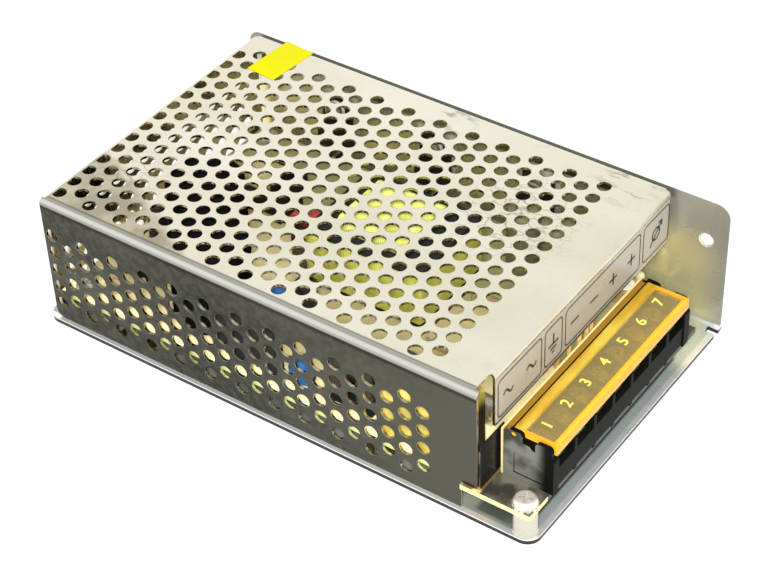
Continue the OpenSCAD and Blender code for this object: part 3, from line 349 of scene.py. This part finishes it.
BASE_TONES = ((0.36, 0.43, 0.38), (0.66, 0.70, 0.66))
BASE_FRONT_REFLECTION = (0.66, 0.74, 0.72)       # paler strip along the terminal end: painted reflection
BASE_SHADE = (0.02, 0.022, 0.02)      # dark strip in front of the terminal block
BASE_TEAL_SHADE = (0.05, 0.09, 0.08)        # painted teal shade under the board's tongue
# painted highlight on the base's rims
RIM_HIGHLIGHT = (0.95, 0.95, 0.94)
WALL_RIM_HIGHLIGHT = (0.86, 0.90, 0.90)         # cut edges of the side wall: painted highlight
INNER_TONES = ((0.45, 0.45, 0.40), (0.60, 0.58, 0.49))
INNER_GLOW = (1.0, 0.90, 0.50)        # warm light from the amber cover
INNER_SHADE_BEHIND = (0.28, 0.28, 0.24)     # painted shade on the strip behind the cover's top
# painted shade on the base's upright edge faces: a dark line along the foot
CUT_EDGE_SHADE = (0.035, 0.035, 0.032)
WALL_INSIDE = (47.0, 47.4)            # mm along Y, where the side wall's inner face starts
TONGUE = ((60.0, 62.2), (75.0, 67.0))  # mm along X, where the teal painted shade starts and ends


def chassis_base(s, px, py, pz, ny, nz):
    """Grey-green zinc with painted light: highlights on the rims, a paler painted reflection along the
    terminal end, painted shade before the block and teal painted shade under the board's tongue.
    """
    low, high = in_mm(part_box("chassis"))
    block = in_mm(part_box("terminal_block"))
    from_near = s.math("SUBTRACT", py, low[1])
    from_front = s.math("SUBTRACT", high[0], px)
    base = s.mix(s.patches(0.35, 0.65, 30.0), *BASE_TONES)
    base = s.over(base, BASE_FRONT_REFLECTION, s.span(from_front, 7.5, 3.5))
    on_base = s.both(s.span(pz, 3.0, 2.0), s.span(nz, 0.5, 0.8))
    by_block = s.both(s.span(py, block[0][1] - 1, block[0][1]), s.span(py, block[1][1] + 2, block[1][1]))
    base = s.over(base, BASE_SHADE, s.span(from_front, 3.6, 4.6), s.span(from_front, 15.0, 11.0),
                  by_block, on_base, 0.9)
    base = s.over(base, BASE_TEAL_SHADE, s.span(px, *TONGUE[0]), s.span(px, *TONGUE[1]),
                  s.span(from_near, 2.2, 3.2), s.span(from_near, 20.0, 15.0), on_base, 0.75)
    # painted highlights on the rims and on the side wall's cut edges
    base = s.over(base, RIM_HIGHLIGHT, s.either(s.span(from_near, 2.0, 1.2), s.span(from_front, 2.0, 1.2)))
    return s.over(base, WALL_RIM_HIGHLIGHT, s.span(py, *WALL_INSIDE), s.span(s.math("ABSOLUTE", ny), 0.5, 0.2))


def steel_chassis():
    """Zinc-plated steel: grey-green base, inner face of the side wall warm with painted light and darker
    with painted shade, dark foot in painted shade.
    """
    s = Shader("chassis_steel", metallic=0.8)
    _, ny, nz = s.facing()
    px, py, pz = s.place()
    base = chassis_base(s, px, py, pz, ny, nz)
    inner = s.mix(s.patches(0.38, 0.62, 26.0, 2.0, (1.0, 1.0, 0.5)), *INNER_TONES)
    inner = s.over(inner, INNER_GLOW, s.span(pz, 36.0, 22.0), s.span(px, 81.0, 70.0))
    inner = s.over(inner, INNER_SHADE_BEHIND, s.span(px, 64.0, 62.0), s.span(pz, 38.5, 39.5))
    color = s.over(base, inner, s.span(ny, -0.5, -0.95), s.span(py, *WALL_INSIDE))
    # painted shade on the upright faces at the foot
    upright = s.span(s.math("ABSOLUTE", nz), 0.6, 0.3)
    s.set("Base Color", s.over(color, CUT_EDGE_SHADE, upright, s.span(pz, 1.4, 1.1)))
    s.set("Roughness", s.span(s.noise(60.0, 3.0, (1.0, 5.0, 1.0)), 0.3, 0.7, 0.24, 0.34))
    s.bump(s.noise(26.0, 2.0), 0.25, 0.15)
    return s.mat


# ---------------------------------------------------------------- plastics and board

AMBER_PANEL = ((0.36, 0.275, 0.08), (0.50, 0.39, 0.13))
# painted glow on the rims, and painted glints on the back band
AMBER_RIM_GLOW = (0.92, 0.50, 0.02)
AMBER_BACK_GLINT = ((0.66, 0.38, 0.015), (0.86, 0.66, 0.10))


def amber_plastic():
    """Clear amber: olive through the flat panel, with a yellow painted glow where the rims gather the
    light and painted glints on the back band.
    """
    s = Shader("amber_plastic", roughness=0.07, IOR=1.3, Transmission_Weight=0.8)
    low, high = in_mm(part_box("terminal_cover"))
    px, py, _ = s.place()
    front = s.span(px, high[0] - 1.8, high[0] - 1.2)
    back = s.span(px, low[0] + 3.6, low[0] + 3.1)
    near_end = s.span(py, low[1] + 2.5, low[1] + 2.0)
    far_end = s.span(py, high[1] - 2.5, high[1] - 2.0)
    rim = s.either(front, near_end, far_end)
    color = s.over(s.mix(s.noise(70.0, 2.0), *AMBER_PANEL), AMBER_RIM_GLOW, rim)
    glint = s.patches(0.35, 0.65, 40.0, 3.0, (6.0, 1.0, 1.0))
    s.set("Base Color", s.over(color, s.mix(glint, *AMBER_BACK_GLINT), back))
    s.set("Transmission Weight", s.span(s.either(rim, back), 0.0, 1.0, 0.75, 0.6))
    s.bump(s.noise(180.0, 2.0), 0.04, 0.2)
    return s.mat


BLOCK_BLACK = ((0.0025, 0.0025, 0.002), (0.005, 0.005, 0.004))
# painted amber light on the top of the rear wall beside the cover
BLOCK_AMBER_LIGHT = (0.20, 0.105, 0.012)
# greyish painted sheen on the near end face
BLOCK_END_SHEEN = ((0.030, 0.030, 0.026), (0.11, 0.11, 0.095))


def block_plastic():
    """Black plastic: painted amber light on the rear wall beside the cover, greyish painted sheen on the
    near end.
    """
    s = Shader("block_plastic", roughness=0.30, Specular_IOR_Level=0.02)
    low, _ = in_mm(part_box("terminal_block"))
    px, py, _ = s.place()
    _, ny, nz = s.facing()
    black = s.mix(s.noise(60.0), *BLOCK_BLACK)
    color = s.over(black, BLOCK_AMBER_LIGHT, s.span(px, low[0] + 1.9, low[0] + 1.5), s.span(nz, 0.5, 0.9))
    end = s.mix(s.patches(0.35, 0.65, 160.0, 2.0), *BLOCK_END_SHEEN)
    color = s.over(color, end, s.span(py, low[1] + 1.2, low[1] + 0.8), s.span(ny, -0.5, -0.9),
                   s.span(px, low[0] + 12.5, low[0] + 8.5))
    s.set("Base Color", color)
    s.bump(s.noise(500.0), 0.02, 0.2)
    return s.mat


BOARD_PALE = ((0.95, 0.76, 0.36), (1.0, 0.90, 0.50))
BOARD_OLIVE = ((0.40, 0.39, 0.17), (0.55, 0.52, 0.26))
# gold painted amber reflection with dark patches, at the opening
BOARD_GOLD_REFLECTION = ((0.82, 0.58, 0.22), (0.12, 0.075, 0.03))
# painted shade on the board at the terminals
BOARD_DULL_SHADE = ((0.020, 0.019, 0.015), (0.10, 0.09, 0.065))
BOARD_EDGE = (0.46, 0.48, 0.20)
BOARD_SHADE = (0.03, 0.03, 0.02)
# where one colour gives way to the next, mm along X or Y
OLIVE_FROM = (4.0, 22.0)
GOLD_FROM = (56.0, 59.0)
DULL_FROM = (63.2, 64.2)
BLOCK_FROM = ((77.0, 77.8), (-40.5, -40.0))


def board_face():
    """Board: pale to olive inside, a gold painted amber reflection at the opening, painted shade at the
    terminals and by the block, green-yellow edges.
    """
    s = Shader("board_face", roughness=0.42)
    px, py, _ = s.place()
    _, _, nz = s.facing()
    fibre = s.noise(900.0, 3.0, (1.0, 0.3, 1.0))
    color = s.mix(s.span(py, *OLIVE_FROM), s.mix(fibre, *BOARD_PALE), s.mix(fibre, *BOARD_OLIVE))
    gold = s.mix(s.patches(0.44, 0.60, 150.0, 3.0, (1.0, 0.6, 1.0)), *BOARD_GOLD_REFLECTION)
    color = s.over(color, gold, s.span(px, *GOLD_FROM))
    color = s.over(color, s.mix(s.patches(0.35, 0.65, 160.0), *BOARD_DULL_SHADE), s.span(px, *DULL_FROM))
    at_block = s.both(s.span(px, *BLOCK_FROM[0]), s.span(py, *BLOCK_FROM[1]))
    side = s.span(s.math("ABSOLUTE", nz), 0.6, 0.3)
    s.set("Base Color", s.over(s.over(color, BOARD_EDGE, side), BOARD_SHADE, at_block))
    s.bump(fibre, 0.03, 0.1)
    return s.mat


def clear_glass():
    """Clear glass with a faint ripple."""
    s = Shader("clear_glass", (0.92, 0.96, 0.94), 0.03, IOR=1.45, Transmission_Weight=1.0)
    s.bump(s.noise(120.0, 1.0), 0.02)
    return s.mat


FILM_YELLOW = ((0.34, 0.26, 0.05), (0.66, 0.55, 0.12))
FILM_SHADE = (0.02, 0.018, 0.01)


def film_box():
    """Yellow box whose front face turns dark towards its foot."""
    s = Shader("film_box", roughness=0.28)
    _, high = in_mm(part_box("film_capacitor"))
    px, _, pz = s.place()
    yellow = s.mix(s.patches(0.35, 0.65, 90.0), *FILM_YELLOW)
    s.set("Base Color", s.over(yellow, FILM_SHADE, s.span(px, high[0] - 0.4, high[0] - 0.1),
                               s.span(pz, high[2] - 1.0, high[2] - 6.0)))
    s.bump(s.noise(500.0), 0.02, 0.15)
    return s.mat


DIP_RED = (0.42, 0.04, 0.03)
DIP_BROWN = ((0.030, 0.015, 0.010), (0.10, 0.05, 0.03))


def red_dip():
    """Dipped coating, red at the crown and dark brown below."""
    s = Shader("red_coating", roughness=0.25)
    _, high = in_mm(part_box("red_capacitor"))
    _, _, pz = s.place()
    brown = s.mix(s.patches(0.35, 0.65, 200.0), *DIP_BROWN)
    s.set("Base Color", s.over(brown, DIP_RED, s.span(pz, high[2] - 3.0, high[2] - 1.2)))
    s.bump(s.noise(300.0), 0.04, 0.15)
    return s.mat


# ---------------------------------------------------------------- a material for every node

OWN = {
    "cover": steel_cover,
    "chassis": steel_chassis,
    "terminal_cover": amber_plastic,
    "terminal_block": block_plastic,
    "fuse_tube": clear_glass,
    "circuit_board": board_face,
    "film_capacitor": film_box,
    "red_capacitor": red_dip,
}
TAPED = {
    "transformer_winding": dict(name="winding_tape", dark=(0.44, 0.47, 0.07), light=(0.72, 0.73, 0.20)),
    "transformer_tape": dict(name="core_tape", dark=(0.52, 0.54, 0.06), light=(0.80, 0.80, 0.16)),
    "drive_winding": dict(name="drive_tape", dark=(0.46, 0.39, 0.12), light=(0.72, 0.62, 0.28)),
    "toroid_winding": dict(name="copper_wire", dark=(0.55, 0.32, 0.10), light=(0.90, 0.62, 0.26),
                           bands=900.0),
    "line_choke_windings": dict(name="copper_turns", dark=(0.015, 0.010, 0.007),
                                light=(0.05, 0.03, 0.018), bands=900.0),
}
FERRITE = dict(color=(0.02, 0.02, 0.02), roughness=0.6, grain=700.0, depth=0.04, Specular_IOR_Level=0.1)
PLAIN = {
    "terminal_label": dict(name="label_film", color=(0.38, 0.355, 0.31), roughness=0.32,
                           metallic=0.35, grain=300.0, depth=0.02, vary=0.10),
    "seal_sticker": dict(name="seal_paper", color=(0.44, 0.42, 0.002), roughness=0.6, grain=260.0,
                         depth=0.08, Specular_IOR_Level=0.15),
    # a film behind the terminal block, painted black as painted shade of the dark interior there
    "insulation_sheet": dict(name="black_film", color=(0.006, 0.006, 0.006), roughness=0.25,
                             grain=400.0, depth=0.02, Specular_IOR_Level=0.2),
    "terminal_guard": dict(name="guard_plastic", color=(0.56, 0.42, 0.18), roughness=0.35,
                           grain=600.0, depth=0.02),
    "transformer_core": dict(FERRITE, name="ferrite"),
    "drive_core": dict(FERRITE, name="ferrite_small"),
    "line_choke_core": dict(FERRITE, name="ferrite_choke", color=(0.01, 0.01, 0.01)),
    "toroid_core": dict(name="core_coating", color=(0.26, 0.28, 0.10), grain=500.0, depth=0.03),
    "disc_capacitors": dict(name="disc_coating", color=(0.012, 0.075, 0.22), roughness=0.22,
                            grain=300.0, depth=0.04),
    "thermistor": dict(name="green_coating", color=(0.05, 0.10, 0.04), roughness=0.3, grain=300.0,
                       depth=0.04),
    "main_capacitors": dict(name="black_sleeve", color=(0.005, 0.005, 0.005), roughness=0.6,
                            grain=300.0, depth=0.02, Specular_IOR_Level=0.0),
    "output_capacitors": dict(name="dark_sleeve", color=(0.20, 0.20, 0.11), roughness=0.3,
                              grain=300.0, depth=0.02),
    "small_capacitors": dict(name="small_sleeve", color=(0.02, 0.02, 0.02), roughness=0.25,
                             grain=300.0, depth=0.02),
    "device_pads": dict(name="pad_rubber", color=(0.38, 0.36, 0.25), roughness=0.7, grain=500.0,
                        depth=0.02),
    "device_bushes": dict(name="bush_plastic", color=(0.75, 0.73, 0.62), roughness=0.5),
    "trimmer_body": dict(name="trimmer_plastic", color=(0.42, 0.30, 0.10), roughness=0.3),
    "trimmer_rotor": dict(name="rotor_plastic", color=(0.80, 0.78, 0.68)),
    "resistors": dict(name="resistor_lacquer", color=(0.55, 0.42, 0.24), roughness=0.35),
    "indicator_led": dict(name="led_plastic", color=(0.42, 0.44, 0.26), roughness=0.15),
}
# one material for several nodes
PACKAGE = dict(name="package_plastic", color=(0.015, 0.015, 0.015), roughness=0.45, grain=700.0,
               depth=0.02, Specular_IOR_Level=0.2)
PLATED = dict(name="plated_metal", color=(0.62, 0.60, 0.50), roughness=0.26, metallic=0.9,
              grain=500.0, depth=0.02, vary=0.10, edge=0.2)
# lighter, less metallic copy of the plated metal: painted glints on the screws, washers and clamps
PLATED_LIT_COPY = dict(name="plated_glint_copy", color=(0.66, 0.63, 0.55), roughness=0.30, metallic=0.7,
              grain=500.0, depth=0.02, vary=0.10, edge=0.2)
SHARED = (
    (PACKAGE, ("transformer_bobbin", "drive_bobbin", "bridge_rectifier", "power_transistors",
               "rectifier_diode", "control_ic")),
    (PLATED, ("cover_screws", "board_standoffs", "terminal_contacts", "fuse_caps", "fuse_clips",
              "device_screws")),
    (PLATED_LIT_COPY, ("board_screws", "board_washers", "terminal_screws", "terminal_clamps")),
)


def node_materials():
    """Material of each node, by the node's name."""
    found = {name: make() for name, make in OWN.items()}
    found.update({name: taped(**values) for name, values in TAPED.items()})
    found.update({name: plain(**values) for name, values in PLAIN.items()})
    for values, names in SHARED:
        found.update(dict.fromkeys(names, plain(**values)))
    return found


def dress_nodes():
    materials = node_materials()
    for name, obj in NODES.items():
        if not obj.material_slots:
            obj.data.materials.append(materials[name])
        for place in obj.material_slots:
            place.material = materials[name]


# ---------------------------------------------------------------- markings

# frames on the label: from and to along Y, their gap to the label's edges, line and corners, mm
LABEL_CELLS = ((-38.9, -18.6), (-17.5, -8.9), (-7.7, 30.0), (31.3, 45.2))
FRAME_MARGIN = 0.8
FRAME_LINE = 0.45
FRAME_RADIUS = 1.6
PRINT_LIFT = 0.03       # mm, print above the label
SIGN_LINE = 0.7         # mm, width of a sign's lines
# signs, as lines of points (y, z) in mm from the middle of the sign
WAVE = [(-2.2 + 0.2 * k, 0.9 * math.sin(2 * math.pi * k / 22)) for k in range(23)]
CIRCLE = [(1.9 * math.cos(math.pi * k / 12), 1.9 * math.sin(math.pi * k / 12)) for k in range(25)]
MINUS = [(-2.0, 0), (2.0, 0)]
BAR = [(0, -2.0), (0, 2.0)]
EARTH = [[(0, 3.0), (0, -0.3)], [(-2.4, -0.3), (2.4, -0.3)],
         [(-1.5, -1.7), (1.5, -1.7)], [(-0.6, -3.0), (0.6, -3.0)]]
ADJUST = [CIRCLE, [(-2.9, -2.9), (2.9, 2.9)], [(1.2, 2.9), (2.9, 2.9), (2.9, 1.2)]]
# name, middle along Y in mm, lines
LABEL_SIGNS = (
    ("sign_mains_1", -34.0, [WAVE]),
    ("sign_mains_2", -23.5, [WAVE]),
    ("sign_earth", -13.2, EARTH),
    ("sign_minus_1", -3.0, [MINUS]),
    ("sign_minus_2", 6.5, [MINUS]),
    ("sign_plus_1", 16.0, [MINUS, BAR]),
    ("sign_plus_2", 25.3, [MINUS, BAR]),
    ("sign_adjust", 38.2, ADJUST))
INK = dict(name="label_ink", color=(0.02, 0.02, 0.02), grain=400.0, vary=0.2, edge=0.0)

# ways of the terminal block, mm
WAYS = 7
WAY_PITCH = 9.1
END_WALL = 2.65
BARRIER = 1.2
# digits on the flip cover, mm
DIGIT_X = 73.3
DIGIT_SIZE = 4.4
DIGIT_HALF_DEPTH = 0.1
DIGIT_SINK = 0.3        # middle of the digits below the top of the cover
DIGIT_PLASTIC = dict(name="digit_plastic", color=(0.85, 0.58, 0.09), roughness=0.2, grain=500.0,
                     vary=0.1, edge=0.0)


def piece(name, data, mat, body):
    obj = bpy.data.objects.new(name, data)
    bpy.context.scene.collection.objects.link(obj)
    data.materials.append(mat)
    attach(obj, body)
    return obj


def mesh_of(name, verts, faces):
    mesh = bpy.data.meshes.new(name)
    mesh.from_pydata(verts, [], faces)
    return mesh


def frame_mesh(name, outlines):
    """Mesh of closed strips: each outline is a pair of point rings of equal length."""
    verts, faces = [], []
    for outer, inner in outlines:
        start, count = len(verts), len(outer)
        verts += [*outer, *inner]
        for i in range(count):
            j = (i + 1) % count
            faces.append((start + i, start + j, start + count + j, start + count + i))
    return mesh_of(name, verts, faces)


def rounded_ring(low, high, radius, steps=6):
    """Points round a rectangle with round corners."""
    points = []
    corners = ((high[0], high[1], 0), (low[0], high[1], 90), (low[0], low[1], 180), (high[0], low[1], 270))
    for cx, cy, start in corners:
        mx = cx - radius if cx == high[0] else cx + radius
        my = cy - radius if cy == high[1] else cy + radius
        for k in range(steps + 1):
            angle = math.radians(start + 90 * k / steps)
            points.append((mx + radius * math.cos(angle), my + radius * math.sin(angle)))
    return points


def stroke_mesh(name, x, y, z, lines):
    """Flat printed lines on a plane of constant x: each line is a list of points in millimetres."""
    verts, faces = [], []
    for line in lines:
        points = [Vector((py, pz)) for py, pz in line]
        start = len(verts)
        for k, point in enumerate(points):
            along = (points[min(k + 1, len(points) - 1)] - points[max(k - 1, 0)]).normalized()
            side = Vector((-along.y, along.x)) * SIGN_LINE / 2
            for p in (point + side, point - side):
                verts.append((x, y + p.x * MM, z + p.y * MM))
            if k:
                a = start + 2 * k
                faces.append((a - 2, a, a + 1, a - 1))
    return mesh_of(name, verts, faces)


def label_marks():
    low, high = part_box("terminal_label")
    x = high[0] + PRINT_LIFT * MM
    z0, z1 = low[2] + FRAME_MARGIN * MM, high[2] - FRAME_MARGIN * MM
    line, radius = FRAME_LINE * MM, FRAME_RADIUS * MM
    strips = []
    for y0, y1 in LABEL_CELLS:
        outer = rounded_ring((y0 * MM, z0), (y1 * MM, z1), radius)
        inner = rounded_ring((y0 * MM + line, z0 + line), (y1 * MM - line, z1 - line), radius - line)
        strips.append(([(x, y, z) for y, z in outer], [(x, y, z) for y, z in inner]))
    ink = plain(**INK)
    piece("label_frames", frame_mesh("label_frames", strips), ink, "supply")
    for name, y, lines in LABEL_SIGNS:
        mesh = stroke_mesh(name, x, y * MM, (z0 + z1) / 2, lines)
        piece(name, mesh, ink, "supply")


def cover_digits():
    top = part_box("terminal_cover")[1][2]
    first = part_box("terminal_block")[0][1] + (END_WALL + (WAY_PITCH - BARRIER) / 2) * MM
    mat = plain(**DIGIT_PLASTIC)
    for i in range(WAYS):
        name = "digit_%d" % (i + 1)
        text = bpy.data.curves.new(name, "FONT")
        text.body = str(i + 1)
        text.size = DIGIT_SIZE * MM
        text.extrude = DIGIT_HALF_DEPTH * MM
        text.align_x, text.align_y = "CENTER", "CENTER"
        obj = piece(name, text, mat, "flip_cover")
        obj.location = (DIGIT_X * MM, first + i * WAY_PITCH * MM, top - DIGIT_SINK * MM)
        obj.rotation_euler = (0, 0, math.radians(90))


# ---------------------------------------------------------------- studio

# name, place and aim in m, sides in m, power in W, colour
LAMPS = (
    ("key", (-0.45, 0.55, 0.75), (0, 0, 0), (0.7, 0.5), 6.0, (1.0, 0.98, 0.93)),
    ("side", (0.7, -0.3, 0.6), (0, 0, 0), (0.5, 0.5), 3.0, (1, 1, 1)),
    ("front", (0.30, -0.42, 0.46), (0, 0, 0.02), (0.10, 0.10), 9.5, (1, 1, 1)),
)
AMBIENT = (0.50, 0.50, 0.48, 1)     # the world's light on the object
WHITE = (1, 1, 1, 1)                # the world as seen, mirrored or looked through to
FLOOR_HALF = 3.0                    # m
FLOOR_DROP = 0.0001                 # m, below the part
FLOOR_COLOR = (0.86, 0.86, 0.86, 1)
FLOOR_WHITE = 0.8                   # share of plain white in the floor as seen; the rest shows shadow


def area_lamp(name, at, aim, size, power, color):
    data = bpy.data.lights.new(name, "AREA")
    data.shape = "RECTANGLE"
    data.size, data.size_y = size
    data.energy = power
    data.color = color
    lamp = bpy.data.objects.new(name, data)
    bpy.context.scene.collection.objects.link(lamp)
    lamp.location = at
    lamp.visible_glossy = False
    lamp.rotation_euler = (Vector(aim) - Vector(at)).to_track_quat("-Z", "Y").to_euler()


def seen(tree, share):
    """share for camera, glossy and transmitted rays, and 0 for the rays that light the object."""
    path = tree.nodes.new("ShaderNodeLightPath")
    total = path.outputs["Is Camera Ray"]
    for ray in ("Is Glossy Ray", "Is Transmission Ray"):
        most = tree.nodes.new("ShaderNodeMath")
        most.operation = "MAXIMUM"
        tree.links.new(total, most.inputs[0])
        tree.links.new(path.outputs[ray], most.inputs[1])
        total = most.outputs[0]
    scale = tree.nodes.new("ShaderNodeMath")
    scale.operation = "MULTIPLY"
    tree.links.new(total, scale.inputs[0])
    scale.inputs[1].default_value = share
    return scale.outputs[0]


def make_world():
    world = bpy.data.worlds.new("world")
    bpy.context.scene.world = world
    world.use_nodes = True
    tree = world.node_tree
    mix = tree.nodes.new("ShaderNodeMix")
    mix.data_type = "RGBA"
    tree.links.new(seen(tree, 1.0), mix.inputs["Factor"])
    mix.inputs["A"].default_value = AMBIENT
    mix.inputs["B"].default_value = WHITE
    tree.links.new(mix.outputs["Result"], tree.nodes["Background"].inputs["Color"])


def floor_material():
    mat = bpy.data.materials.new("floor")
    mat.use_nodes = True
    tree = mat.node_tree
    matte = tree.nodes["Principled BSDF"]
    matte.inputs["Base Color"].default_value = FLOOR_COLOR
    matte.inputs["Roughness"].default_value = 0.9
    white = tree.nodes.new("ShaderNodeEmission")
    white.inputs["Strength"].default_value = 1.0
    mix = tree.nodes.new("ShaderNodeMixShader")
    tree.links.new(seen(tree, FLOOR_WHITE), mix.inputs[0])
    tree.links.new(matte.outputs[0], mix.inputs[1])
    tree.links.new(white.outputs[0], mix.inputs[2])
    tree.links.new(mix.outputs[0], tree.nodes["Material Output"].inputs["Surface"])
    return mat


def make_floor():
    half = FLOOR_HALF
    corners = [(-half, -half, 0), (half, -half, 0), (half, half, 0), (-half, half, 0)]
    mesh = mesh_of("floor", corners, [(0, 1, 2, 3)])
    mesh.materials.append(floor_material())
    floor = bpy.data.objects.new("floor", mesh)
    bpy.context.scene.collection.objects.link(floor)
    floor.location.z = CAD_BOX[0][2] - FLOOR_DROP


def make_studio():
    make_world()
    make_floor()
    for lamp in LAMPS:
        area_lamp(*lamp)


# ---------------------------------------------------------------- build

make_camera()
dress_nodes()
label_marks()
cover_digits()
make_studio()
bpy.context.scene.view_settings.view_transform = "Standard"

bpy.context.view_layer.update()
